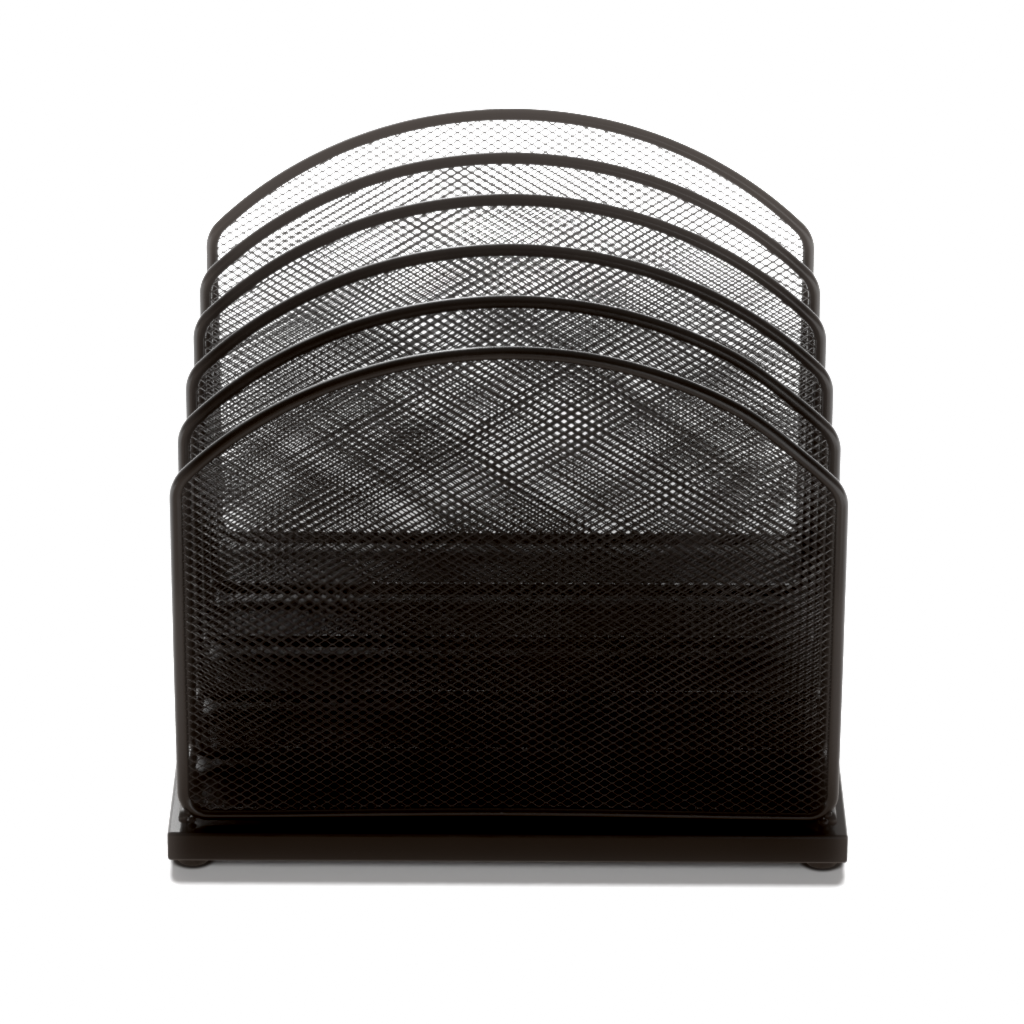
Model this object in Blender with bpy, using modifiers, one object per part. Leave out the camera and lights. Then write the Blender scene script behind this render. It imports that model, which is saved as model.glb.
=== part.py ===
"""Desktop file sorter: six arched mesh dividers on two rails, welded to a folded steel tray.

Units are metres and +Z is up. The origin is on the surface that the sorter stands on, under the
middle of the tray. Papers go in from above, the front is towards -Y and the dividers stand across X.
"""

import math

import bmesh
import bpy

COLLECTION = "desktop_file_sorter"
CUTTERS = "cutters"
CLEARANCE = 0.0003          # between pieces that touch or are welded

# Dividers
DIVIDER_COUNT = 6
DIVIDER_PITCH = 0.0595      # centre to centre, one compartment each
DIVIDER_WIDTH = 0.300       # outside to outside of the rod
DIVIDER_HEIGHT = 0.2335     # lowest to highest point of the rod
ROD_RADIUS = 0.003
CORNER_RADIUS = 0.011       # lower corners, on the rod's centre line
SHOULDER_RADIUS = 0.0165    # where the upright meets the arch, on the centre line
ARCH_RADIUS = 0.201         # on the centre line
PANEL_THICKNESS = 0.0005    # expanded sheet inside the rod, as one plain plate

# Tray
TRAY_WIDTH = 0.309
TRAY_DEPTH = 0.3185
TRAY_HEIGHT = 0.0143        # top face to the underside of the return lips
SHEET = 0.0008
BEND_RADIUS = 0.0014        # outside of each fold
LIP_WIDTH = 0.022           # return lips under the tray's edges
SEAM_WIDTH = 0.0004         # open seams at the tray's corners
SEAM_TOP = 0.0022           # from the tray's top face down to where each seam starts
CUT_OVERRUN = 0.002         # how far a cutter runs past what it cuts

# Feet
FOOT_RADIUS = 0.0082
FOOT_TIP_RADIUS = 0.0072    # the foot narrows towards the surface
FOOT_HEIGHT = 0.0047        # surface to the lips
FOOT_INSET = 0.0111         # from the tray's edges to a foot's centre
FOOT_ROUNDING = 0.0007
SCREW_RADIUS = 0.0015
SCREW_HOLE_RADIUS = 0.0018
SCREW_HEAD_RADIUS = 0.0029
SCREW_HEAD_HEIGHT = 0.0014
SCREW_LENGTH = 0.0075       # under the head
RECESS_RADIUS = 0.0040      # in the foot, for the screw's head
RECESS_DEPTH = 0.0022
DRIVE_WIDTH = 0.0008        # cross recess in the screw's head
DRIVE_LENGTH = 0.0032
DRIVE_DEPTH = 0.0008

# Rack: what holds the dividers together and to the tray
DIVIDER_GAP = 0.0020        # under the dividers' rods, above the tray
RAIL_RADIUS = 0.0020
RAIL_OVERHANG = 0.0050      # past the outer dividers' centres
RAIL_NOSE = 0.0012          # length of a rail's rounded end
LUG_RADIUS = 0.0022
LUG_INSET = 0.0063          # from a divider's side to a lug's centre
LUG_ROUNDING = 0.0006

LIP_Z = FOOT_HEIGHT
TRAY_TOP_Z = LIP_Z + TRAY_HEIGHT
DIVIDER_Z = TRAY_TOP_Z + DIVIDER_GAP
HALF_WIDTH = DIVIDER_WIDTH / 2 - ROD_RADIUS      # to the rod's centre line


def clear_scene():
    for obj in list(bpy.data.objects):
        bpy.data.objects.remove(obj)


def make_collection(name):
    collection = bpy.data.collections.new(name)
    bpy.context.scene.collection.children.link(collection)
    return collection


def make_material(name, colour, roughness, metallic=0.0):
    material = bpy.data.materials.new(name)
    material.use_nodes = True
    shader = material.node_tree.nodes["Principled BSDF"]
    shader.inputs["Base Color"].default_value = (*colour, 1.0)
    shader.inputs["Roughness"].default_value = roughness
    shader.inputs["Metallic"].default_value = metallic
    return material


def move_to(obj, collection):
    for other in list(obj.users_collection):
        other.objects.unlink(obj)
    collection.objects.link(obj)


def add_object(name, data, collection, material=None, location=(0, 0, 0)):
    obj = bpy.data.objects.new(name, data)
    obj.location = location
    if material:
        data.materials.append(material)
    collection.objects.link(obj)
    return obj


def divider_y(index):
    return (index - (DIVIDER_COUNT - 1) / 2) * DIVIDER_PITCH


def arc(centre_x, centre_z, radius, start, end, steps):
    """Points from one angle to another in degrees, measured from +X towards +Z."""
    points = []
    for step in range(steps + 1):
        angle = math.radians(start + (end - start) * step / steps)
        points.append((centre_x + radius * math.cos(angle), centre_z + radius * math.sin(angle)))
    return points


def divider_outline(inset):
    """The divider's closed outline (x, z), inset from the rod's centre line, z from its lowest point."""
    corner_x = HALF_WIDTH - CORNER_RADIUS
    corner_z = ROD_RADIUS + CORNER_RADIUS
    shoulder_x = HALF_WIDTH - SHOULDER_RADIUS
    arch_z = DIVIDER_HEIGHT - ROD_RADIUS - ARCH_RADIUS
    lean = math.degrees(math.acos(shoulder_x / (ARCH_RADIUS - SHOULDER_RADIUS)))
    shoulder_z = arch_z + (ARCH_RADIUS - SHOULDER_RADIUS) * math.sin(math.radians(lean))
    right = arc(corner_x, corner_z, CORNER_RADIUS - inset, -90, 0, 5)
    right += arc(shoulder_x, shoulder_z, SHOULDER_RADIUS - inset, 0, lean, 4)
    arch = arc(0, arch_z, ARCH_RADIUS - inset, lean, 180 - lean, 22)
    left = [(-x, z) for x, z in reversed(right)]
    return right + arch[1:-1] + left


def poly_curve(name, points, radius, resolution, cyclic, tips=None):
    """A round rod along a list of points; tips gives each point's share of the radius."""
    curve = bpy.data.curves.new(name, "CURVE")
    curve.dimensions = "3D"
    curve.bevel_depth = radius
    curve.bevel_resolution = resolution
    curve.use_fill_caps = not cyclic
    spline = curve.splines.new("POLY")
    spline.points.add(len(points) - 1)
    for index, point in enumerate(points):
        spline.points[index].co = (*point, 1.0)
        spline.points[index].radius = tips[index] if tips else 1.0
    spline.use_cyclic_u = cyclic
    return curve


def make_divider_frames(collection, material):
    for index in range(DIVIDER_COUNT):
        name = f"divider_frame_{index + 1}"
        loop = [(x, 0.0, z) for x, z in divider_outline(0.0)]
        curve = poly_curve(name, loop, ROD_RADIUS, 3, cyclic=True)
        add_object(name, curve, collection, material, (0, divider_y(index), DIVIDER_Z))


def make_divider_panels(collection, material):
    for index in range(DIVIDER_COUNT):
        name = f"mesh_panel_{index + 1}"
        curve = bpy.data.curves.new(name, "CURVE")
        curve.dimensions = "2D"
        curve.fill_mode = "BOTH"
        curve.extrude = PANEL_THICKNESS / 2
        outline = divider_outline(ROD_RADIUS + CLEARANCE)
        spline = curve.splines.new("POLY")
        spline.points.add(len(outline) - 1)
        for point, (x, z) in zip(spline.points, outline):
            point.co = (x, z, 0.0, 1.0)
        spline.use_cyclic_u = True
        panel = add_object(name, curve, collection, material, (0, divider_y(index), DIVIDER_Z))
        panel.rotation_euler = (math.radians(90), 0, 0)


def rail_centre():
    """x and z of a rail: against the dividers' lower corners, on the corner's diagonal."""
    corner_x = HALF_WIDTH - CORNER_RADIUS
    corner_z = DIVIDER_Z + ROD_RADIUS + CORNER_RADIUS
    reach = (CORNER_RADIUS + ROD_RADIUS + CLEARANCE + RAIL_RADIUS) * math.sqrt(0.5)
    return corner_x + reach, corner_z - reach


def make_rails(collection, material):
    x, z = rail_centre()
    end = divider_y(DIVIDER_COUNT - 1) + RAIL_OVERHANG
    stations = [(end, 0.55), (end - RAIL_NOSE / 3, 0.85), (end - RAIL_NOSE, 1.0)]
    front = [(-y, share) for y, share in stations]
    back = list(reversed(stations))
    for side, name in ((-1, "side_rail_left"), (1, "side_rail_right")):
        points = [(0.0, y, 0.0) for y, share in front + back]
        shares = [share for y, share in front + back]
        curve = poly_curve(name, points, RAIL_RADIUS, 3, cyclic=False, tips=shares)
        add_object(name, curve, collection, material, (side * x, 0, z))


def make_lugs(collection, material):
    """Four weld lugs that carry the rack's corners on the tray."""
    x = DIVIDER_WIDTH / 2 - LUG_INSET
    low = TRAY_TOP_Z + CLEARANCE
    corner_x = HALF_WIDTH - CORNER_RADIUS
    outer = CORNER_RADIUS + ROD_RADIUS
    nearest = x - LUG_RADIUS - corner_x
    high = DIVIDER_Z + outer - math.sqrt(outer**2 - nearest**2) - CLEARANCE
    for side, side_name in ((-1, "left"), (1, "right")):
        for index, end_name in ((0, "front"), (DIVIDER_COUNT - 1, "back")):
            name = f"weld_lug_{end_name}_{side_name}"
            bpy.ops.mesh.primitive_cylinder_add(vertices=24, radius=LUG_RADIUS, depth=high - low)
            lug = bpy.context.object
            lug.name = name
            lug.location = (side * x, divider_y(index), (low + high) / 2)
            lug.data.materials.append(material)
            move_to(lug, collection)
            bevel = lug.modifiers.new("rounding", "BEVEL")
            bevel.width = LUG_ROUNDING
            bevel.segments = 2
            bevel.limit_method = "ANGLE"
            lug.data.shade_smooth()
            lug.data.set_sharp_from_angle(angle=math.radians(40))


def cut_with_last_primitive(obj, name, cutters):
    """Cut obj with the primitive just added, which is kept out of sight."""
    cutter = bpy.context.object
    cutter.name = name
    cutter.hide_render = True
    cutter.display_type = "WIRE"
    move_to(cutter, cutters)
    boolean = obj.modifiers.new(name, "BOOLEAN")
    boolean.operation = "DIFFERENCE"
    boolean.object = cutter


def cut_box(obj, name, size, location, turn_deg, cutters):
    """Cut a box out of obj, turned about Z."""
    turn = (0, 0, math.radians(turn_deg))
    bpy.ops.mesh.primitive_cube_add(size=1.0, location=location, rotation=turn)
    bpy.context.object.scale = size
    cut_with_last_primitive(obj, name, cutters)


def cut_hole(obj, name, radius, depth, location, cutters):
    bpy.ops.mesh.primitive_cylinder_add(vertices=24, radius=radius, depth=depth, location=location)
    cut_with_last_primitive(obj, name, cutters)


def foot_places():
    """Name ending, x and y of each foot."""
    x = TRAY_WIDTH / 2 - FOOT_INSET
    y = TRAY_DEPTH / 2 - FOOT_INSET
    places = []
    for side_y, end_name in ((-1, "front"), (1, "back")):
        for side_x, side_name in ((-1, "left"), (1, "right")):
            places.append((f"{end_name}_{side_name}", side_x * x, side_y * y))
    return places


def tray_surface():
    """The tray's outer skin: top, four flanges and their inward lips, open underneath."""
    shape = bmesh.new()
    bmesh.ops.create_cube(shape, size=1.0)
    bmesh.ops.scale(shape, vec=(TRAY_WIDTH, TRAY_DEPTH, TRAY_HEIGHT), verts=shape.verts)
    bottom = [face for face in shape.faces if face.normal.z < -0.5]
    bmesh.ops.inset_region(shape, faces=bottom, thickness=LIP_WIDTH, use_even_offset=True)
    middle = [face for face in bottom if face.is_valid]
    bmesh.ops.delete(shape, geom=middle, context="FACES")
    mesh = bpy.data.meshes.new("base_tray")
    shape.to_mesh(mesh)
    shape.free()
    return mesh


def make_tray(collection, cutters, material):
    middle_z = LIP_Z + TRAY_HEIGHT / 2
    tray = add_object("base_tray", tray_surface(), collection, material, (0, 0, middle_z))
    bends = tray.modifiers.new("bends", "BEVEL")
    bends.width = BEND_RADIUS
    bends.segments = 3
    bends.limit_method = "ANGLE"
    walls = tray.modifiers.new("sheet", "SOLIDIFY")
    walls.thickness = SHEET
    walls.offset = -1.0
    walls.use_even_offset = True
    seam_length = (LIP_WIDTH + CUT_OVERRUN * 2) * math.sqrt(2)
    seam_height = TRAY_HEIGHT - SEAM_TOP + CUT_OVERRUN
    seam_z = TRAY_TOP_Z - SEAM_TOP - seam_height / 2
    for side_x in (-1, 1):
        for side_y in (-1, 1):
            seam_x = side_x * (TRAY_WIDTH - LIP_WIDTH) / 2
            seam_y = side_y * (TRAY_DEPTH - LIP_WIDTH) / 2
            seam_size = (seam_length, SEAM_WIDTH, seam_height)
            cut_box(tray, "corner_seam", seam_size, (seam_x, seam_y, seam_z), 45 * side_x * side_y, cutters)
    for ending, x, y in foot_places():
        hole_depth = SHEET + CUT_OVERRUN * 2
        cut_hole(tray, "screw_hole", SCREW_HOLE_RADIUS, hole_depth, (x, y, LIP_Z + SHEET / 2), cutters)
    tray.data.shade_smooth()
    tray.data.set_sharp_from_angle(angle=math.radians(35))


def turned(name, profile, closed, steps, collection, material, location):
    """A solid turned about Z from a profile of (radius, z) that runs down its outer side."""
    mesh = bpy.data.meshes.new(name)
    edges = [(index, index + 1) for index in range(len(profile) - 1)]
    if closed:
        edges.append((len(profile) - 1, 0))
    mesh.from_pydata([(radius, 0.0, z) for radius, z in profile], edges, [])
    obj = add_object(name, mesh, collection, material, location)
    turn = obj.modifiers.new("turn", "SCREW")
    turn.steps = steps
    turn.render_steps = steps
    turn.use_merge_vertices = True
    turn.merge_threshold = 0.00001
    turn.use_normal_calculate = False
    turn.use_smooth_shade = True
    return obj


def make_feet(collection, material):
    top = FOOT_HEIGHT - CLEARANCE
    outer = [
        (FOOT_RADIUS - FOOT_ROUNDING / 2, top),
        (FOOT_RADIUS, top - FOOT_ROUNDING / 2),
        (FOOT_TIP_RADIUS + 0.0002, FOOT_ROUNDING),
        (FOOT_TIP_RADIUS - FOOT_ROUNDING * 0.3, FOOT_ROUNDING * 0.3),
        (FOOT_TIP_RADIUS - FOOT_ROUNDING, 0.0),
    ]
    inner = [
        (RECESS_RADIUS, 0.0),
        (RECESS_RADIUS, RECESS_DEPTH),
        (SCREW_HOLE_RADIUS, RECESS_DEPTH),
        (SCREW_HOLE_RADIUS, top),
    ]
    for ending, x, y in foot_places():
        turned(f"foot_{ending}", outer + inner, True, 32, collection, material, (x, y, 0))


def make_foot_screws(collection, cutters, material):
    """Pan-head screws that hold the feet to the tray's lips; the heads face down."""
    under_head = RECESS_DEPTH - CLEARANCE
    head_low = under_head - SCREW_HEAD_HEIGHT
    profile = [
        (0.0, under_head + SCREW_LENGTH),
        (SCREW_RADIUS * 0.3, under_head + SCREW_LENGTH - 0.0002),
        (SCREW_RADIUS, under_head + SCREW_LENGTH - 0.0018),
        (SCREW_RADIUS, under_head),
        (SCREW_HEAD_RADIUS, under_head),
        (SCREW_HEAD_RADIUS, under_head - SCREW_HEAD_HEIGHT * 0.35),
        (SCREW_HEAD_RADIUS * 0.85, head_low + SCREW_HEAD_HEIGHT * 0.2),
        (SCREW_HEAD_RADIUS * 0.5, head_low),
        (0.0, head_low),
    ]
    for ending, x, y in foot_places():
        screw = turned(f"foot_screw_{ending}", profile, False, 24, collection, material, (x, y, 0))
        for turn_deg in (0, 90):
            slot_size = (DRIVE_LENGTH, DRIVE_WIDTH, DRIVE_DEPTH * 2)
            cut_box(screw, "drive_slot", slot_size, (x, y, head_low), turn_deg, cutters)


def main():
    clear_scene()
    parts = make_collection(COLLECTION)
    cutters = make_collection(CUTTERS)
    rod_black = make_material("rod_black_powder_coat", (0.018, 0.016, 0.015), 0.38)
    mesh_black = make_material("mesh_black_powder_coat", (0.020, 0.018, 0.017), 0.42)
    tray_black = make_material("tray_black_enamel", (0.016, 0.014, 0.013), 0.22)
    foot_rubber = make_material("foot_rubber", (0.022, 0.015, 0.012), 0.75)
    screw_steel = make_material("screw_steel", (0.45, 0.44, 0.42), 0.35, metallic=1.0)
    make_tray(parts, cutters, tray_black)
    make_feet(parts, foot_rubber)
    make_foot_screws(parts, cutters, screw_steel)
    make_lugs(parts, rod_black)
    make_rails(parts, rod_black)
    make_divider_frames(parts, rod_black)
    make_divider_panels(parts, mesh_black)


main()
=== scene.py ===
"""Desktop file sorter: mesh dividers in rod loops on a folded steel tray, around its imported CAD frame."""
import math

import bmesh
import bpy
import numpy as np
from mathutils import Matrix, Vector, noise


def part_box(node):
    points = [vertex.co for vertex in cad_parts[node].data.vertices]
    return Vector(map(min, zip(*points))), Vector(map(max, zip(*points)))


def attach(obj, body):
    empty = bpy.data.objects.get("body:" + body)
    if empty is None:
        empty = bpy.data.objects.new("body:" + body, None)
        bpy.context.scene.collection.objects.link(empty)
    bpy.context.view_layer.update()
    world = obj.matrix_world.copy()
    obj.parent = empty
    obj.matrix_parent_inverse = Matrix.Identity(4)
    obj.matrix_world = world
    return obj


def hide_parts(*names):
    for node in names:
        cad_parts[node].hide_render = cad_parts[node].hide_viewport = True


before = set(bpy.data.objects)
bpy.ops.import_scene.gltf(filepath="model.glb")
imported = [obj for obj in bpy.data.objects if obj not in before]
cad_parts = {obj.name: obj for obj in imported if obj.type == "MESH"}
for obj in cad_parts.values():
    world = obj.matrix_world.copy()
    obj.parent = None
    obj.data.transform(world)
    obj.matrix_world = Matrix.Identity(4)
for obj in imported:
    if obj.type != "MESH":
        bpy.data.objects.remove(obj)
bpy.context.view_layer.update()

DIVIDERS = 6
BODY = "root"
MM = 0.001

# Loop of a divider, measured to the rod's centre line
CORNER_RADIUS = 11.0 * MM
SHOULDER_RADIUS = 16.5 * MM
ARCH_RADIUS = 201.0 * MM
first_low, first_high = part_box("divider_frame_1")
ROD_RADIUS = (first_high.y - first_low.y) / 2
HALF_WIDTH = first_high.x - ROD_RADIUS
LOOP_LOW = first_low.z + ROD_RADIUS
LOOP_HIGH = first_high.z - ROD_RADIUS
ROD_SIDES = 28
RAIL_SIDES = 24

# Expanded mesh: the diamond's two pitches, the strand, the flat bond and the louvre
LONG_PITCH = 6.6 * MM
SHORT_PITCH = 4.08 * MM
STRAND_WIDTH = 1.15 * MM
STRAND_THICKNESS = 0.40 * MM
BOND_LENGTH = 0.95 * MM
BOND_OVERLAP = 0.03 * MM
LOUVRE_ANGLE = math.radians(52)
# How deep the ends of the strands are sunk into the rod
WELD_DEPTH = 0.5 * MM
# The sheet meets its rod this far in front of the rod's centre line
PANEL_FORWARD = 0.9 * MM
# Slow drift of the lattice over each of these lengths, as a share of the length, and less of it upright
DRIFT_LENGTHS = (0.11, 0.17, 0.29)
DRIFT_SHARE = 0.0011
DRIFT_UPRIGHT = 0.7
# The most by which one sheet is stretched sideways, as a share of its width
STRETCH = 0.003
# How far the sheet buckles forwards and back, and its waves' radians per metre along X and Z
BUCKLE = 0.4 * MM
BUCKLE_WAVES = (21, 17)

# Faults of the real loops. Numbers of loops count from the front.
# The front loop's bottom rod bows up in the middle. Its ends sit below the other loops' bottoms, by a
# drop that fades out over BOW_FADE up the corners.
FRONT_BOW = 1.7 * MM
FRONT_DROP = 0.5 * MM
BOW_FADE = 20.0 * MM
# How much lower the right shoulders sit than the left ones. The sag starts at SAG_START from the middle
# and SAG_FOOT above the bottom, and is complete SAG_LENGTH further out and SAG_RISE further up.
RIGHT_SHOULDER_SAG = {1: 3.0 * MM, 2: 2.0 * MM}
SAG_START = 98.0 * MM
SAG_LENGTH = 36.0 * MM
SAG_FOOT = 30.0 * MM
SAG_RISE = 100.0 * MM
# How far the uprights bow outwards, and the share of it at their feet
SPREAD = {1: 0.65 * MM, 2: 0.40 * MM, 3: 0.15 * MM}
SPREAD_AT_FOOT = 0.4
SPREAD_RISE = 90.0 * MM
# How far back each loop's top leans from its foot
LEAN_BACK = {1: 0.8 * MM, 3: 2.6 * MM, 4: 6.0 * MM, 5: 1.0 * MM, 6: 1.2 * MM}
# How far the rod wanders forwards and back, from this high up, and its wave's radians per metre
ROD_WANDER = 0.12 * MM
WANDER_START = 30.0 * MM
WANDER_WAVE = 40

# Butt weld under each loop: a groove narrowed by a soft ring on each side, nowhere proud of the rod.
# Each is a place along the rod, a height and a width.
SEAM_RINGS = (
    (0.9 * MM, 0.16 * MM, 0.5 * MM),
    (-0.9 * MM, 0.14 * MM, 0.5 * MM),
    (0.0, -0.22 * MM, 0.35 * MM),
)
# The rod's points across the seam, in millimetres from it, and the stretch they fill on each side
SEAM_OFFSETS = (-2.4, -1.5, -1.0, -0.6, -0.3, 0.0, 0.3, 0.6, 1.0, 1.5, 2.4)
SEAM_CLEAR = 3.0 * MM
# The seam's place on the front loop, and how far from the middle it may be on the others
FRONT_SEAM_X = -2.3 * MM
SEAM_REACH = 12.0 * MM
SAME_HEIGHT = 1e-9

# Weld beads between a rail and each divider
BEAD_SIZE = (1.5 * MM, 1.7 * MM, 1.9 * MM)
BEAD_APART = 1.9 * MM
# Lumps on weld metal: how fine they are and how high, as a share of the size
COARSE_LUMPS = (1.7, 0.22)
FINE_LUMPS = (4.0, 0.08)
# A lug's weld metal over its CAD box, and how far it is lifted
LUG_FILL = (0.95, 0.95, 1.15)
LUG_LIFT = 0.1 * MM
# A rail's rounded ends: their length and the width of their tips, as shares of the rail's radius
NOSE_LENGTH = 0.6
NOSE_TIP = 0.3
NOSE_STEPS = 5
RAIL_STEPS = 60


# ---------------------------------------------------------------- the divider's loop

corner_x = HALF_WIDTH - CORNER_RADIUS
corner_z = LOOP_LOW + CORNER_RADIUS
shoulder_x = HALF_WIDTH - SHOULDER_RADIUS
arch_z = LOOP_HIGH - ARCH_RADIUS
lean = math.acos(shoulder_x / (ARCH_RADIUS - SHOULDER_RADIUS))
shoulder_z = arch_z + (ARCH_RADIUS - SHOULDER_RADIUS) * math.sin(lean)


def arc(cx, cz, radius, start, end, steps):
    """Points of an arc without its last one, angles from +X towards +Z."""
    points = []
    for step in range(steps):
        angle = start + (end - start) * step / steps
        points.append((cx + radius * math.cos(angle), cz + radius * math.sin(angle)))
    return points


def line(start, end, steps):
    """Points of a straight line without its last one."""
    points = []
    for step in range(steps):
        share = step / steps
        points.append((start[0] + (end[0] - start[0]) * share, start[1] + (end[1] - start[1]) * share))
    return points


def loop_points():
    """The loop's centre line (x, z) from the middle of its bottom, anticlockwise."""
    right = line((0.0, LOOP_LOW), (corner_x, LOOP_LOW), steps=60)
    right += arc(corner_x, corner_z, CORNER_RADIUS, -math.pi / 2, 0, steps=14)
    right += line((HALF_WIDTH, corner_z), (HALF_WIDTH, shoulder_z), steps=20)
    right += arc(shoulder_x, shoulder_z, SHOULDER_RADIUS, 0, lean, steps=12)
    right += arc(0.0, arch_z, ARCH_RADIUS, lean, math.pi / 2, steps=36)
    left = [(-x, z) for x, z in reversed(right[1:])]
    return right + [(0.0, LOOP_HIGH)] + left


def sag_at(x, z, sag):
    """How far a loop's right shoulder sits low, fading out towards its middle and foot (arrays)."""
    across = np.clip((x - SAG_START) / SAG_LENGTH, 0.0, 1.0)
    up = np.clip((z - LOOP_LOW - SAG_FOOT) / SAG_RISE, 0.0, 1.0)
    return sag * across * across * (3 - 2 * across) * up * up * (3 - 2 * up)


def lean_at(z, lean_back):
    """How far back of its foot a leaning loop is at a height (a number or an array)."""
    return lean_back * (z - LOOP_LOW) / (LOOP_HIGH - LOOP_LOW)


def spread_at(x, z, spread):
    """How far outwards a point of a loop with bowed uprights lies, less at its foot (numbers or arrays)."""
    up = np.clip((z - LOOP_LOW) / SPREAD_RISE, 0.0, 1.0)
    return spread * x / HALF_WIDTH * (SPREAD_AT_FOOT + (1 - SPREAD_AT_FOOT) * up * up * (3 - 2 * up))


def bow_at(x, z, bow):
    """How far the bottom rod's bow lifts a point: full along the rod, fading out above it."""
    across = max(0.0, 1.0 - (x / corner_x) ** 2)
    drop = FRONT_DROP if bow > 0 else 0.0
    return (bow * across * across - drop) * max(0.0, 1.0 - (z - LOOP_LOW) / BOW_FADE)


def room_inside(x, z, bow):
    """Distance from a point to the loop's centre line, positive inside (arrays)."""
    ax = np.abs(x)
    floor_z = LOOP_LOW + bow * np.maximum(0.0, 1.0 - (x / corner_x) ** 2) ** 2
    if bow > 0:
        floor_z = floor_z - FRONT_DROP
    room = np.minimum(HALF_WIDTH - ax, z - floor_z)
    low = (ax > corner_x) & (z < corner_z)
    room = np.where(low, CORNER_RADIUS - np.hypot(ax - corner_x, z - corner_z), room)
    rise = np.arctan2(z - arch_z, ax)
    room = np.where(rise >= lean, np.minimum(room, ARCH_RADIUS - np.hypot(ax, z - arch_z)), room)
    turn = (rise < lean) & (ax > shoulder_x) & (z > shoulder_z)
    return np.where(turn, SHOULDER_RADIUS - np.hypot(ax - shoulder_x, z - shoulder_z), room)


# ---------------------------------------------------------------- small helpers

def add_piece(name, mesh, material, slot, *nodes):
    """A finished piece that rides on the body and stands for CAD nodes."""
    obj = bpy.data.objects.new(name, mesh)
    bpy.context.scene.collection.objects.link(obj)
    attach(obj, BODY)
    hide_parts(*nodes)
    mesh.materials.append(material)


def mesh_from_lists(name, verts, faces):
    mesh = bpy.data.meshes.new(name)
    mesh.from_pydata(verts, [], faces)
    mesh.validate()
    return mesh


def joined(name, meshes):
    """One smooth mesh from several, each kept as its own closed shell."""
    shape = bmesh.new()
    for mesh in meshes:
        shape.from_mesh(mesh)
    bmesh.ops.recalc_face_normals(shape, faces=shape.faces)
    result = bpy.data.meshes.new(name)
    shape.to_mesh(result)
    shape.free()
    result.shade_smooth()
    return result


# ---------------------------------------------------------------- expanded mesh

def warped(x, z, seed):
    """Slow drift of the lattice, as the sheet was stretched."""
    rng = np.random.default_rng(seed)
    dx = np.zeros_like(x)
    dz = np.zeros_like(x)
    for wave in DRIFT_LENGTHS:
        a, b, c, d = rng.uniform(0, 2 * math.pi, 4)
        size = DRIFT_SHARE * wave
        dx += size * np.sin(x * 2 * math.pi / wave + a) * np.cos(z * 2 * math.pi / wave + b)
        dz += size * DRIFT_UPRIGHT * np.cos(x * 2 * math.pi / wave + c) * np.sin(z * 2 * math.pi / wave + d)
    return x + dx, z + dz


def add_run(run, verts, quads, wide, deep):
    """One strand, a bar of four sides through the run's points, closed at its ends."""
    start = len(verts)
    for point in run:
        centre = np.array(point)
        for a, b in ((-1, -1), (1, -1), (1, 1), (-1, 1)):
            verts.append(tuple(centre + a * wide + b * deep))
    count = len(run)
    for step in range(count - 1):
        here = start + step * 4
        for corner in range(4):
            other = (corner + 1) % 4
            quads.append((here + corner, here + other, here + 4 + other, here + 4 + corner))
    quads.append((start + 3, start + 2, start + 1, start))
    end = start + (count - 1) * 4
    quads.append((end, end + 1, end + 2, end + 3))


def part_way(first, second, share):
    """The point that lies a share of the way from the first point to the second."""
    return tuple(a + (b - a) * share for a, b in zip(first, second))


def runs_inside(x, y, z, room):
    """Stretches of a row of points that lie inside the loop, cut off where the room is 0."""
    runs = []
    run = []
    for index in range(len(x)):
        point = (x[index], y[index], z[index])
        before = (x[index - 1], y[index - 1], z[index - 1])
        if room[index] > 0:
            if not run and index > 0:
                share = room[index] / (room[index] - room[index - 1])
                run.append(part_way(point, before, share))
            run.append(point)
        elif run:
            share = room[index - 1] / (room[index - 1] - room[index])
            run.append(part_way(run[-1], point, share))
            runs.append(run)
            run = []
    if run:
        runs.append(run)
    return runs


def mesh_panel(name, seed, centre_y, bow, sag, lean_back, spread):
    """Rows of zigzag strands that meet at flat bonds, cut to the loop."""
    rng = np.random.default_rng(seed)
    half = LONG_PITCH / 2
    rise = SHORT_PITCH / 2
    shift_x = rng.uniform(-half, half)
    shift_z = rng.uniform(-rise, rise)
    stretch = rng.uniform(-STRETCH, STRETCH)
    # a few columns and rows to spare, which the loop cuts off
    columns = int(HALF_WIDTH / half) + 3
    rows = int((LOOP_HIGH - LOOP_LOW) / rise) + 5
    along = np.arange(-columns, columns + 1)
    station_x = np.repeat(along * half, 2)
    station_x[0::2] -= BOND_LENGTH / 2
    station_x[1::2] += BOND_LENGTH / 2
    wide = np.array([0.0, -math.sin(LOUVRE_ANGLE), math.cos(LOUVRE_ANGLE)])
    deep = np.array([0.0, math.cos(LOUVRE_ANGLE), math.sin(LOUVRE_ANGLE)])
    half_wide = STRAND_WIDTH / 2 + BOND_OVERLAP / 2
    verts = []
    quads = []
    for row in range(rows):
        is_top = np.repeat((along + row) % 2 == 0, 2)
        base_z = LOOP_LOW - SHORT_PITCH + row * rise + shift_z
        bond_z = np.where(is_top, base_z + rise, base_z)
        x, z = warped(station_x * (1 + stretch) + shift_x, bond_z, seed + 50)
        side = np.where(is_top, -1.0, 1.0) * STRAND_WIDTH / 2
        y = centre_y - PANEL_FORWARD + side * wide[1] + lean_at(z, lean_back)
        y = y + BUCKLE * np.sin(x * BUCKLE_WAVES[0] + seed) * np.sin(z * BUCKLE_WAVES[1] + seed * 2)
        z = z + side * wide[2]
        room = room_inside(x, z, bow) - (ROD_RADIUS - WELD_DEPTH)
        fallen = z - sag_at(x, z, sag)
        x = x + spread_at(x, z, spread)
        for run in runs_inside(x, y, fallen, room):
            add_run(run, verts, quads, wide * half_wide, deep * STRAND_THICKNESS / 2)
    return mesh_from_lists(name, verts, quads)


# ---------------------------------------------------------------- rods

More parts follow.
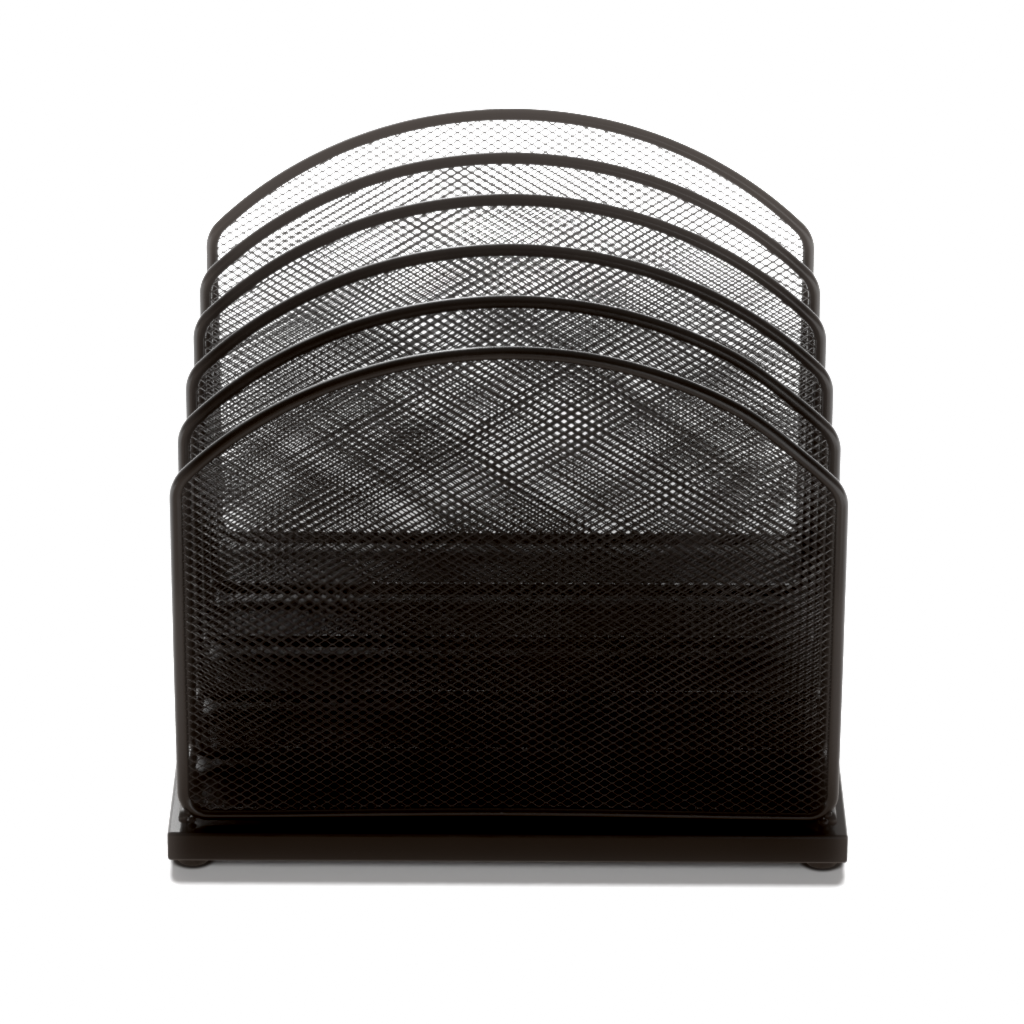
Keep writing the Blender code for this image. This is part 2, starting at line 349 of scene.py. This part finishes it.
def rod_mesh(name, centres, radii, closed, sides):
    """A round rod through a list of centres, with one radius for each."""
    centres = [Vector(c) for c in centres]
    count = len(centres)
    verts = []
    faces = []
    for index, centre in enumerate(centres):
        ahead = centres[(index + 1) % count] if closed or index < count - 1 else centre
        behind = centres[index - 1] if closed or index > 0 else centre
        along = (ahead - behind).normalized()
        side = Vector((0, 1, 0)) if closed else Vector((1, 0, 0))
        out = side.cross(along).normalized()
        for step in range(sides):
            angle = 2 * math.pi * step / sides
            verts.append(centre + (out * math.cos(angle) + side * math.sin(angle)) * radii[index])
    rings = count if closed else count - 1
    for ring in range(rings):
        here = ring * sides
        there = (ring + 1) % count * sides
        for step in range(sides):
            other = (step + 1) % sides
            faces.append((here + step, here + other, there + other, there + step))
    if not closed:
        faces.append(tuple(reversed(range(sides))))
        faces.append(tuple(range((count - 1) * sides, count * sides)))
    mesh = mesh_from_lists(name, [tuple(v) for v in verts], faces)
    fixed = bmesh.new()
    fixed.from_mesh(mesh)
    bmesh.ops.recalc_face_normals(fixed, faces=fixed.faces)
    fixed.to_mesh(mesh)
    fixed.free()
    mesh.shade_smooth()
    return mesh


def ring_at(away, place, height, width):
    """Height of a soft ring round the rod, at a distance from the butt weld."""
    return height * math.exp(-(((away - place) / width) ** 2))


def seam_radius(away):
    """The rod's radius at a distance from its butt weld, never more than the rod's own."""
    swell = sum(ring_at(away, *ring) for ring in SEAM_RINGS)
    return ROD_RADIUS + min(swell, 0.0)


def frame_mesh(name, index, centre_y, bow, sag, lean_back, spread):
    """One bent loop of rod, with its butt weld in the bottom."""
    rng = np.random.default_rng(300 + index)
    seam_x = float(rng.uniform(-SEAM_REACH, SEAM_REACH))
    if index == 0:
        seam_x = FRONT_SEAM_X
    points = loop_points()
    # more points across the seam
    bottom = [(seam_x + offset * MM, LOOP_LOW) for offset in SEAM_OFFSETS]
    rest = []
    for x, z in points:
        if abs(z - LOOP_LOW) >= SAME_HEIGHT:
            rest.append((x, z))
        elif abs(x - seam_x) > SEAM_CLEAR:
            bottom.append((x, z))
    centres = []
    radii = []
    for x, z in sorted(bottom) + rest:
        lift = bow_at(x, z, bow) - float(sag_at(np.array(x), np.array(z), sag))
        wander = ROD_WANDER * math.sin(x * WANDER_WAVE + index) * (1 if z > LOOP_LOW + WANDER_START else 0)
        outer_x = x + float(spread_at(x, z, spread))
        centres.append((outer_x, centre_y + wander + lean_at(z, lean_back), z + lift))
        in_bottom = abs(z - LOOP_LOW) < SAME_HEIGHT
        radii.append(seam_radius(x - seam_x) if in_bottom else ROD_RADIUS)
    return rod_mesh(name, centres, radii, closed=True, sides=ROD_SIDES)


# ---------------------------------------------------------------- welds

def weld_bead(shape, centre, size, turn, seed, fineness):
    """A lumpy bead of weld metal, added to shape."""
    made = bmesh.ops.create_icosphere(shape, subdivisions=fineness, radius=1.0)
    spin = Matrix.Rotation(turn, 3, "Y")
    for vert in made["verts"]:
        direction = vert.co.normalized()
        lump = noise.noise(direction * COARSE_LUMPS[0] + Vector((seed * 3.1, seed, 0))) * COARSE_LUMPS[1]
        lump += noise.noise(direction * FINE_LUMPS[0] + Vector((0, seed * 2.3, seed))) * FINE_LUMPS[1]
        local = Vector((direction.x * size[0], direction.y * size[1], direction.z * size[2])) * (1 + lump)
        vert.co = Vector(centre) + spin @ local


def rail_rod(low, high):
    """The rail's rod along Y, with rounded ends."""
    x = (low.x + high.x) / 2
    z = (low.z + high.z) / 2
    radius = (high.x - low.x) / 2
    nose = radius * NOSE_LENGTH
    stations = []
    for step in range(NOSE_STEPS + 1):
        angle = math.pi / 2 * step / NOSE_STEPS
        stations.append((nose * (1 - math.sin(angle)), NOSE_TIP + (1 - NOSE_TIP) * math.sin(angle)))
    centres = [(x, low.y + away, z) for away, share in stations]
    radii = [radius * share for away, share in stations]
    inner_low = low.y + nose
    inner_high = high.y - nose
    for step in range(1, RAIL_STEPS):
        centres.append((x, inner_low + (inner_high - inner_low) * step / RAIL_STEPS, z))
        radii.append(radius)
    centres += [(x, high.y - away, z) for away, share in reversed(stations)]
    radii += [radius * share for away, share in reversed(stations)]
    return rod_mesh("rail", centres, radii, closed=False, sides=RAIL_SIDES)


def rail_beads(side):
    """Two weld beads at each divider's lower corner, on one side."""
    beads = bmesh.new()
    reach = (CORNER_RADIUS + ROD_RADIUS) * math.sqrt(0.5)
    for index in range(DIVIDERS):
        low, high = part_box(f"divider_frame_{index + 1}")
        y = (low.y + high.y) / 2
        for way in (-1, 1):
            centre = (side * (corner_x + reach), y + way * BEAD_APART, corner_z - reach)
            seed = index * 2 + way + side * 0.37
            weld_bead(beads, centre, BEAD_SIZE, side * math.pi / 4, seed, fineness=3)
    mesh = bpy.data.meshes.new("beads")
    beads.to_mesh(mesh)
    beads.free()
    return mesh


def lug_mesh(low, high, seed):
    """A lump of weld metal that stands on the tray."""
    centre = (low + high) / 2
    size = [half * fill for half, fill in zip((high - low) / 2, LUG_FILL)]
    shape = bmesh.new()
    weld_bead(shape, (centre.x, centre.y, centre.z + LUG_LIFT), size, 0.0, seed, fineness=4)
    tray_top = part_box("base_tray")[1].z
    for vert in shape.verts:
        vert.co.z = max(vert.co.z, tray_top)
    mesh = bpy.data.meshes.new("lug")
    shape.to_mesh(mesh)
    shape.free()
    return mesh


# ---------------------------------------------------------------- materials

def new_material(name):
    material = bpy.data.materials.new(name)
    material.use_nodes = True
    tree = material.node_tree
    return material, tree, tree.nodes["Principled BSDF"]


def add_node(tree, kind, **inputs):
    node = tree.nodes.new(kind)
    for key, value in inputs.items():
        node.inputs[key.replace("_", " ")].default_value = value
    return node


def noise_node(tree, scale, detail, roughness):
    coords = tree.nodes.get("place") or tree.nodes.new("ShaderNodeTexCoord")
    coords.name = "place"
    node = add_node(tree, "ShaderNodeTexNoise", Scale=scale, Detail=detail, Roughness=roughness)
    tree.links.new(coords.outputs["Object"], node.inputs["Vector"])
    return node


def ramp_node(tree, source, stops):
    ramp = tree.nodes.new("ShaderNodeValToRGB")
    ramp.color_ramp.elements[0].position = stops[0][0]
    ramp.color_ramp.elements[0].color = (*stops[0][1], 1)
    ramp.color_ramp.elements[1].position = stops[-1][0]
    ramp.color_ramp.elements[1].color = (*stops[-1][1], 1)
    for place, colour in stops[1:-1]:
        element = ramp.color_ramp.elements.new(place)
        element.color = (*colour, 1)
    tree.links.new(source, ramp.inputs["Fac"])
    return ramp


def map_range(tree, source, low, high):
    """The usual spread of a noise, 0.3 to 0.7, turned into low to high."""
    node = add_node(tree, "ShaderNodeMapRange", From_Min=0.3, From_Max=0.7, To_Min=low, To_Max=high)
    tree.links.new(source, node.inputs["Value"])
    return node


def bump_chain(tree, shader, layers):
    """Bumps on top of one another: each is (height output, strength, distance)."""
    previous = None
    for height, strength, distance in layers:
        bump = add_node(tree, "ShaderNodeBump", Strength=strength, Distance=distance)
        tree.links.new(height, bump.inputs["Height"])
        if previous is not None:
            tree.links.new(previous, bump.inputs["Normal"])
        previous = bump.outputs["Normal"]
    tree.links.new(previous, shader.inputs["Normal"])


DUST_COLOUR = (0.055, 0.05, 0.045, 1)


def coated(name, dark, light, rough, peel_scale, peel_depth, specular):
    """Black coating: uneven black, fine orange peel, a little dust and patches of gloss."""
    material, tree, shader = new_material(name)
    cloud = noise_node(tree, scale=38.0, detail=4.0, roughness=0.6)
    shade = ramp_node(tree, cloud.outputs["Fac"], [(0.32, dark), (0.7, light)])
    dust = noise_node(tree, scale=1400.0, detail=2.0, roughness=0.7)
    specks = ramp_node(tree, dust.outputs["Fac"], [(0.70, (0, 0, 0)), (0.78, (1, 1, 1))])
    mix = tree.nodes.new("ShaderNodeMix")
    mix.data_type = "RGBA"
    tree.links.new(specks.outputs["Color"], mix.inputs["Factor"])
    tree.links.new(shade.outputs["Color"], mix.inputs["A"])
    mix.inputs["B"].default_value = DUST_COLOUR
    tree.links.new(mix.outputs["Result"], shader.inputs["Base Color"])
    patches = noise_node(tree, scale=90.0, detail=3.0, roughness=0.55)
    roughness = map_range(tree, patches.outputs["Fac"], rough[0], rough[1])
    tree.links.new(roughness.outputs["Result"], shader.inputs["Roughness"])
    shader.inputs["Specular IOR Level"].default_value = specular
    peel = noise_node(tree, scale=peel_scale, detail=2.0, roughness=0.5)
    waves = noise_node(tree, scale=peel_scale * 0.16, detail=2.0, roughness=0.5)
    bump_chain(tree, shader, [
        (waves.outputs["Fac"], 0.5, peel_depth * 3),
        (peel.outputs["Fac"], 0.6, peel_depth),
    ])
    return material


def rubber():
    """Matt moulded rubber with a fine grain."""
    material, tree, shader = new_material("foot_rubber")
    cloud = noise_node(tree, scale=320.0, detail=4.0, roughness=0.6)
    tones = [(0.35, (0.011, 0.008, 0.006)), (0.68, (0.024, 0.018, 0.014))]
    shade = ramp_node(tree, cloud.outputs["Fac"], tones)
    tree.links.new(shade.outputs["Color"], shader.inputs["Base Color"])
    patches = noise_node(tree, scale=500.0, detail=2.0, roughness=0.5)
    roughness = map_range(tree, patches.outputs["Fac"], 0.62, 0.82)
    tree.links.new(roughness.outputs["Result"], shader.inputs["Roughness"])
    shader.inputs["Specular IOR Level"].default_value = 0.3
    grain = noise_node(tree, scale=2600.0, detail=2.0, roughness=0.6)
    bump_chain(tree, shader, [(grain.outputs["Fac"], 0.5, 0.04 * MM)])
    return material


def plain_steel():
    """Zinc-plated steel, a little cloudy."""
    material, tree, shader = new_material("screw_steel")
    shader.inputs["Metallic"].default_value = 1.0
    cloud = noise_node(tree, scale=900.0, detail=3.0, roughness=0.6)
    tones = [(0.3, (0.36, 0.34, 0.30)), (0.7, (0.55, 0.54, 0.50))]
    shade = ramp_node(tree, cloud.outputs["Fac"], tones)
    tree.links.new(shade.outputs["Color"], shader.inputs["Base Color"])
    roughness = map_range(tree, cloud.outputs["Fac"], 0.26, 0.45)
    tree.links.new(roughness.outputs["Result"], shader.inputs["Roughness"])
    grain = noise_node(tree, scale=5200.0, detail=2.0, roughness=0.5)
    bump_chain(tree, shader, [(grain.outputs["Fac"], 0.4, 0.02 * MM)])
    return material


rod_coat = coated(
    "rod_powder_coat", dark=(0.0050, 0.0040, 0.0032), light=(0.0090, 0.0074, 0.0062),
    rough=(0.20, 0.28), peel_scale=1500.0, peel_depth=0.02 * MM, specular=0.5)
weld_coat = coated(
    "weld_powder_coat", dark=(0.0180, 0.0145, 0.0125), light=(0.0320, 0.0265, 0.0235),
    rough=(0.30, 0.44), peel_scale=1500.0, peel_depth=0.03 * MM, specular=0.5)
mesh_coat = coated(
    "mesh_powder_coat", dark=(0.046, 0.043, 0.041), light=(0.070, 0.064, 0.061),
    rough=(0.38, 0.52), peel_scale=1800.0, peel_depth=0.02 * MM, specular=0.42)
tray_coat = coated(
    "tray_enamel", dark=(0.0045, 0.0032, 0.0022), light=(0.0075, 0.0055, 0.0040),
    rough=(0.16, 0.23), peel_scale=700.0, peel_depth=0.012 * MM, specular=0.35)
foot_rubber = rubber()
screw_steel = plain_steel()

# ---------------------------------------------------------------- the pieces

for index in range(DIVIDERS):
    number = index + 1
    low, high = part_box(f"divider_frame_{number}")
    loop = {
        "centre_y": (low.y + high.y) / 2,
        "bow": FRONT_BOW if index == 0 else 0.0,
        "sag": RIGHT_SHOULDER_SAG.get(number, 0.0),
        "lean_back": LEAN_BACK.get(number, 0.0),
        "spread": SPREAD.get(number, 0.0),
    }
    rod = frame_mesh(f"rod_loop_{number}", index, **loop)
    add_piece(f"rod_loop_{number}", rod, rod_coat, "rod_powder_coat", f"divider_frame_{number}")
    sheet = mesh_panel(f"expanded_mesh_{number}", 11 + index, **loop)
    add_piece(f"expanded_mesh_{number}", sheet, mesh_coat, "mesh_powder_coat", f"mesh_panel_{number}")

for side, side_name in ((-1, "left"), (1, "right")):
    low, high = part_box(f"side_rail_{side_name}")
    name = f"welded_rail_{side_name}"
    mesh = joined(name, [rail_rod(low, high), rail_beads(side)])
    add_piece(name, mesh, weld_coat, "rod_powder_coat", f"side_rail_{side_name}")

for end_name, end_seed in (("front", 5), ("back", 9)):
    for side, side_name in ((-1, "left"), (1, "right")):
        low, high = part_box(f"weld_lug_{end_name}_{side_name}")
        name = f"weld_{end_name}_{side_name}"
        mesh = joined(name, [lug_mesh(low, high, side + end_seed)])
        add_piece(name, mesh, weld_coat, "rod_powder_coat", f"weld_lug_{end_name}_{side_name}")

for name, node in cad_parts.items():
    if name == "base_tray":
        material = tray_coat
    elif name.startswith("foot_screw"):
        material = screw_steel
    elif name.startswith("foot_"):
        material = foot_rubber
    else:
        continue
    node.data.materials.clear()
    node.data.materials.append(material)

# ---------------------------------------------------------------- floor, light and camera

FLOOR_SIZE = 5.0
FLOOR_ALBEDO = 0.2
# Painted reflection: radiance the floor gives off to every ray but the camera's, as the object mirrors it,
# in front and behind, over BOUNCE
FRONT_BOUNCE = (0.120, 0.092, 0.074)
BACK_BOUNCE = (0.85, 0.85, 0.85)
BOUNCE = 2.6
# It changes from front to back over this span of Y, and sooner beyond the tray's sides
BOUNCE_TURN = (-0.25, 0.30)
BOUNCE_SIDE = 0.15
BOUNCE_SLANT = 0.9
# A painted pool of brighter reflection in front, from its far end to its near end
POOL = 0.15
POOL_FAR = (-0.60, -0.40)
POOL_NEAR = (-0.30, -0.21)
# A painted bright patch of it far in front, on the right of a slightly slanted line
FAR_RIGHT = 0.7
FAR_RIGHT_EDGE = (-0.02, 0.08)
FAR_RIGHT_SLANT = 0.1
FAR_RIGHT_NEAR = (-0.65, -0.45)
# Radii between which the floor turns into the bright sweep, a glow painted on the floor
SWEEP_EDGE = (0.47, 0.66)
SWEEP_RISE = 1.5
# Painted shade on the floor behind the object: share of its white that the floor keeps, at the shade's
# start and at its end
SHADE_NEAR = 0.20
SHADE_FAR = 0.42
SHADE_LENGTH = (0.15, 0.47)
SHADE_FRONT = (0.12, 0.15)
SHADE_BACK = (0.47, 0.67)
SHADE_SIDES = (0.10, 0.22)
# Painted contact shadow where a foot meets the floor
CONTACT_SHADE = 0.02
CONTACT_WIDTH = 3.0 * MM
# Radiance of the studio by height of direction, from straight down to straight up
ROOM_BY_HEIGHT = [
    (0.0, (0.30, 0.21, 0.15)),
    (0.25, (0.24, 0.17, 0.12)),
    (0.42, (0.15, 0.11, 0.08)),
    (0.52, (0.05, 0.04, 0.035)),
    (0.72, (0.025, 0.022, 0.02)),
    (0.88, (0.08, 0.075, 0.07)),
    (1.0, (0.22, 0.21, 0.20)),
]
# Radiance of the sweep behind, low and high. Every span in the world is one of a direction's X, Y or Z.
SWEEP_BEHIND = (-0.12, 0.5)
SWEEP_LOW = 4.5
LOW_SHARE_AT_SIDES = 0.25
LOW_SHARE_BELOW = 0.3
LOW_BOTTOM = (-0.25, 0.02)
LOW_SIDES = (0.15, 0.45)
LOW_TO_HIGH = (0.12, 0.28)
SWEEP_HIGH = 0.28
HIGH_TOP = (0.50, 0.85)
# The bright pane on the left of its high part, with a dimmer wing further left and a dimmer foot
PANE = 14.0
PANE_RIGHT = (-0.080, -0.052)
PANE_LEFT = (-0.24, -0.12)
WING_SHARE = 0.34
WING_LEFT = (-0.65, -0.45)
PANE_FOOT_SHARE = 0.35
PANE_FOOT = (0.43, 0.47)
# A soft box low on the right in front
SOFT_BOX = 2.0
BOX_LEFT = (0.05, 0.18)
BOX_BACK = (-0.55, -0.2)
BOX_BOTTOM = (-0.4, -0.1)
BOX_TOP = (0.02, 0.16)
# Radiance of the backdrop as the camera sees it
BACKDROP = 4.0
# The camera, fitted to the photograph's perspective
LENS = 192.3
CAMERA_PLACE = (0.00136, -2.35225, 1.1858)
CAMERA_DOWN = math.radians(24.638)
CAMERA_ROLL = math.radians(0.243)


def math_node(tree, operation, first, second=0.0, third=0.0):
    """A Math node's output; a number goes on a socket, and an output is linked to it."""
    node = tree.nodes.new("ShaderNodeMath")
    node.operation = operation
    for socket, value in zip(node.inputs, (first, second, third)):
        if isinstance(value, (int, float)):
            socket.default_value = value
        else:
            tree.links.new(value, socket)
    return node.outputs["Value"]


def product(tree, *factors):
    """The product of two or more outputs."""
    result = factors[0]
    for factor in factors[1:]:
        result = math_node(tree, "MULTIPLY", result, factor)
    return result


def between(tree, source, span, low, high):
    """A smooth change from low to high as source goes through the span, a start and an end."""
    node = add_node(tree, "ShaderNodeMapRange", From_Min=span[0], From_Max=span[1], To_Min=low, To_Max=high)
    node.interpolation_type = "SMOOTHSTEP"
    tree.links.new(source, node.inputs["Value"])
    return node.outputs["Result"]


def axes_of(tree, output_name):
    """A texture coordinate as a vector, and its x, y and z."""
    coords = tree.nodes.new("ShaderNodeTexCoord")
    split = tree.nodes.new("ShaderNodeSeparateXYZ")
    place = coords.outputs[output_name]
    tree.links.new(place, split.inputs["Vector"])
    return place, split.outputs["X"], split.outputs["Y"], split.outputs["Z"]


def seen_or_mirrored(tree, seen, mirrored, target):
    """The camera sees one shader and every other ray the other."""
    path = tree.nodes.new("ShaderNodeLightPath")
    pick = tree.nodes.new("ShaderNodeMixShader")
    tree.links.new(path.outputs["Is Camera Ray"], pick.inputs["Fac"])
    tree.links.new(mirrored, pick.inputs[1])
    tree.links.new(seen, pick.inputs[2])
    tree.links.new(pick.outputs["Shader"], target)


def painted_shade_kept(tree, x, y):
    """Share of its white that the floor keeps: painted soft shade behind the object, painted contact shadow
    at its feet.
    """
    # painted shade behind the object, fading out backwards and towards the sides
    shaded = between(tree, y, SHADE_LENGTH, SHADE_NEAR, SHADE_FAR)
    sideways = math_node(tree, "ABSOLUTE", x)
    within = product(
        tree,
        between(tree, sideways, SHADE_SIDES, 1.0, 0.0),
        between(tree, y, SHADE_FRONT, 0.0, 1.0),
        between(tree, y, SHADE_BACK, 1.0, 0.0))
    kept = math_node(tree, "POWER", shaded, within)
    # painted contact shadow in a ring round each foot
    foot_low, foot_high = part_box("foot_front_right")
    foot_x = (foot_low.x + foot_high.x) / 2
    foot_y = -(foot_low.y + foot_high.y) / 2
    across = math_node(tree, "SUBTRACT", sideways, foot_x)
    along = math_node(tree, "SUBTRACT", math_node(tree, "ABSOLUTE", y), foot_y)
    squares = math_node(tree, "ADD", product(tree, across, across), product(tree, along, along))
    away = math_node(tree, "SQRT", squares)
    radius = (foot_high.x - foot_low.x) / 2
    contact = between(tree, away, (radius, radius + CONTACT_WIDTH), CONTACT_SHADE, 1.0)
    return product(tree, kept, contact)


def painted_reflection_share(tree, x, y):
    """Where the floor's painted reflection lies between its dim front and its bright back, from 0 to 1."""
    past_side = math_node(tree, "SUBTRACT", math_node(tree, "ABSOLUTE", x), BOUNCE_SIDE)
    outward = math_node(tree, "MULTIPLY", math_node(tree, "MAXIMUM", past_side, 0.0), BOUNCE_SLANT)
    ahead = between(tree, math_node(tree, "ADD", y, outward), BOUNCE_TURN, 0.0, 1.0)
    # painted pool of brighter reflection in front
    pool = product(tree, between(tree, y, POOL_NEAR, POOL, 0.0), between(tree, y, POOL_FAR, 0.0, 1.0))
    # painted bright patch far in front, on the right
    slanted = math_node(tree, "ADD", x, math_node(tree, "MULTIPLY", y, FAR_RIGHT_SLANT))
    far_right = product(
        tree,
        between(tree, slanted, FAR_RIGHT_EDGE, 0.0, FAR_RIGHT),
        between(tree, y, FAR_RIGHT_NEAR, 1.0, 0.0))
    return math_node(tree, "ADD", ahead, math_node(tree, "ADD", pool, far_right))


def make_floor():
    """A pale floor with painted shade that glows into a bright sweep further out, and shows a painted
    reflection to every ray but the camera's.
    """
    shape = bmesh.new()
    bmesh.ops.create_grid(shape, x_segments=8, y_segments=8, size=FLOOR_SIZE)
    mesh = bpy.data.meshes.new("studio_floor")
    shape.to_mesh(mesh)
    shape.free()
    floor = bpy.data.objects.new("studio_floor", mesh)
    bpy.context.scene.collection.objects.link(floor)
    material, tree, shader = new_material("floor_white")
    tree.nodes.remove(shader)
    place, x, y, _ = axes_of(tree, "Object")
    white = tree.nodes.new("ShaderNodeBsdfDiffuse")
    # the painted shade and contact shadows darken the floor's white
    albedo = math_node(tree, "MULTIPLY", painted_shade_kept(tree, x, y), FLOOR_ALBEDO)
    tree.links.new(albedo, white.inputs["Color"])
    # painted light: the floor glows more further out, as a bright sweep
    sweep = tree.nodes.new("ShaderNodeEmission")
    length = tree.nodes.new("ShaderNodeVectorMath")
    length.operation = "LENGTH"
    tree.links.new(place, length.inputs[0])
    rise = between(tree, length.outputs["Value"], SWEEP_EDGE, 0.0, SWEEP_RISE)
    tree.links.new(rise, sweep.inputs["Strength"])
    seen = tree.nodes.new("ShaderNodeAddShader")
    tree.links.new(white.outputs["BSDF"], seen.inputs[0])
    tree.links.new(sweep.outputs["Emission"], seen.inputs[1])
    # painted reflection: the floor glows for every ray but the camera's, and the object mirrors it
    shade = ramp_node(tree, painted_reflection_share(tree, x, y), [(0.0, FRONT_BOUNCE), (1.0, BACK_BOUNCE)])
    mirrored = add_node(tree, "ShaderNodeEmission", Strength=BOUNCE)
    tree.links.new(shade.outputs["Color"], mirrored.inputs["Color"])
    surface = tree.nodes["Material Output"].inputs["Surface"]
    seen_or_mirrored(tree, seen.outputs["Shader"], mirrored.outputs["Emission"], surface)
    mesh.materials.append(material)
    return floor


def sweep_behind(tree, x, y, z):
    """Light of the white sweep behind the object, by direction."""
    sideways = math_node(tree, "ABSOLUTE", x)
    # its low part lights the rods' upper edges
    low = product(
        tree,
        between(tree, z, LOW_BOTTOM, LOW_SHARE_BELOW, 1.0),
        between(tree, z, LOW_TO_HIGH, 1.0, 0.0),
        between(tree, sideways, LOW_SIDES, SWEEP_LOW, SWEEP_LOW * LOW_SHARE_AT_SIDES))
    # its high part, which the tray mirrors, is bright only in the pane on the left
    pane = product(
        tree,
        between(tree, x, PANE_LEFT, WING_SHARE, 1.0),
        between(tree, x, PANE_RIGHT, 1.0, 0.0),
        between(tree, x, WING_LEFT, 0.0, 1.0),
        between(tree, z, PANE_FOOT, PANE_FOOT_SHARE, 1.0))
    high = product(
        tree,
        between(tree, z, LOW_TO_HIGH, 0.0, 1.0),
        between(tree, z, HIGH_TOP, 1.0, 0.0),
        math_node(tree, "MULTIPLY_ADD", pane, PANE - SWEEP_HIGH, SWEEP_HIGH))
    behind = between(tree, y, SWEEP_BEHIND, 0.0, 1.0)
    return product(tree, math_node(tree, "ADD", low, high), behind)


def soft_box(tree, x, y, z):
    """Light of a soft box low on the right in front, by direction."""
    return product(
        tree,
        between(tree, x, BOX_LEFT, 0.0, 1.0),
        between(tree, y, BOX_BACK, 1.0, 0.0),
        between(tree, z, BOX_BOTTOM, 0.0, 1.0),
        between(tree, z, BOX_TOP, SOFT_BOX, 0.0))


def make_world():
    """A white studio: a bright sweep low behind the object, and little light on its front side."""
    world = bpy.data.worlds.new("studio")
    bpy.context.scene.world = world
    world.use_nodes = True
    tree = world.node_tree
    room = tree.nodes["Background"]
    _, x, y, z = axes_of(tree, "Generated")
    height = math_node(tree, "MULTIPLY_ADD", z, 0.5, 0.5)
    base = ramp_node(tree, height, ROOM_BY_HEIGHT)
    total = tree.nodes.new("ShaderNodeMix")
    total.data_type = "RGBA"
    total.blend_type = "ADD"
    total.inputs["Factor"].default_value = 1.0
    tree.links.new(base.outputs["Color"], total.inputs["A"])
    lights = math_node(tree, "ADD", sweep_behind(tree, x, y, z), soft_box(tree, x, y, z))
    tree.links.new(lights, total.inputs["B"])
    tree.links.new(total.outputs["Result"], room.inputs["Color"])
    seen = add_node(tree, "ShaderNodeBackground", Color=(1, 1, 1, 1), Strength=BACKDROP)
    surface = tree.nodes["World Output"].inputs["Surface"]
    seen_or_mirrored(tree, seen.outputs["Background"], room.outputs["Background"], surface)


def add_sun(name, toward, strength, spread, receivers, blockers):
    """A broad light that reaches only the receivers, shaded only by the blockers."""
    light = bpy.data.lights.new(name, "SUN")
    light.energy = strength
    light.angle = spread
    obj = bpy.data.objects.new(name, light)
    obj.rotation_euler = Vector(toward).to_track_quat("-Z", "Y").to_euler()
    bpy.context.scene.collection.objects.link(obj)
    for role, members in (("receiver_collection", receivers), ("blocker_collection", blockers)):
        group = bpy.data.collections.new(f"{name}_{role}")
        for member in members:
            group.objects.link(member)
        setattr(obj.light_linking, role, group)


def add_camera():
    """A long lens in front, looking down at the sorter, with a slight roll."""
    data = bpy.data.cameras.new("camera")
    data.lens = LENS
    data.sensor_width = 36.0
    data.clip_end = 100.0
    camera = bpy.data.objects.new("camera", data)
    camera.location = CAMERA_PLACE
    tilt = Matrix.Rotation(math.pi / 2 - CAMERA_DOWN, 4, "X")
    roll = Matrix.Rotation(CAMERA_ROLL, 4, "Z")
    camera.rotation_euler = (tilt @ roll).to_euler()
    bpy.context.scene.collection.objects.link(camera)
    bpy.context.scene.camera = camera


studio_floor = make_floor()
make_world()
shading = [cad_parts["base_tray"]]
shading += [node for name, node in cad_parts.items() if name.startswith("foot_") and "screw" not in name]
add_sun(
    "key_from_behind", toward=(0.0, -0.71, -0.71), strength=50.0, spread=math.radians(34),
    receivers=[studio_floor], blockers=shading)
add_sun(
    "fill_from_front", toward=(0.0, 0.75, -0.66), strength=6.0, spread=math.radians(40),
    receivers=[studio_floor], blockers=shading)
add_camera()

# ---------------------------------------------------------------- the picture's finish

# Width in the 1024-wide image and share of the light, for the wide veil and the narrow one
GLARE = ((80, 0.007), (30, 0.030))
GLARE_TINT = (1.0, 0.87, 0.80, 1.0)
# Share of a slight blur of the finished picture, and its width
SOFTNESS = 0.30
SOFT_WIDTH = 2
# Deep warm blacks, as in a high-key picture
BLACK_LEVEL = (0.0035, 0.0047, 0.0053)


def blur_node(tree, source, kind, width):
    blur = tree.nodes.new("CompositorNodeBlur")
    blur.filter_type = kind
    blur.size_x = width
    blur.size_y = width
    tree.links.new(source, blur.inputs["Image"])
    return blur.outputs["Image"]


def mix_node(tree, kind, share, first, second):
    """A mix of an image with another image or with one colour."""
    mix = tree.nodes.new("CompositorNodeMixRGB")
    mix.blend_type = kind
    mix.inputs["Fac"].default_value = share
    tree.links.new(first, mix.inputs[1])
    if isinstance(second, tuple):
        mix.inputs[2].default_value = second
    else:
        tree.links.new(second, mix.inputs[2])
    return mix


def add_lens_glare():
    """The soft veil that a lens spreads from an over-exposed backdrop."""
    scene = bpy.context.scene
    scene.use_nodes = True
    tree = scene.node_tree
    tree.nodes.clear()
    layers = tree.nodes.new("CompositorNodeRLayers")
    target = tree.nodes.new("CompositorNodeComposite")
    image = layers.outputs["Image"]
    for width, share in GLARE:
        spread_light = blur_node(tree, layers.outputs["Image"], "FAST_GAUSS", width)
        warm = mix_node(tree, "MULTIPLY", 1.0, spread_light, GLARE_TINT)
        veil = mix_node(tree, "ADD", share, image, warm.outputs["Image"])
        image = veil.outputs["Image"]
    veil.use_clamp = True
    soft = blur_node(tree, image, "GAUSS", SOFT_WIDTH)
    blend = mix_node(tree, "MIX", SOFTNESS, image, soft)
    tree.links.new(blend.outputs["Image"], target.inputs["Image"])


add_lens_glare()
view = bpy.context.scene.view_settings
view.view_transform = "Standard"
view.use_curve_mapping = True
view.curve_mapping.black_level = BLACK_LEVEL
view.curve_mapping.update()
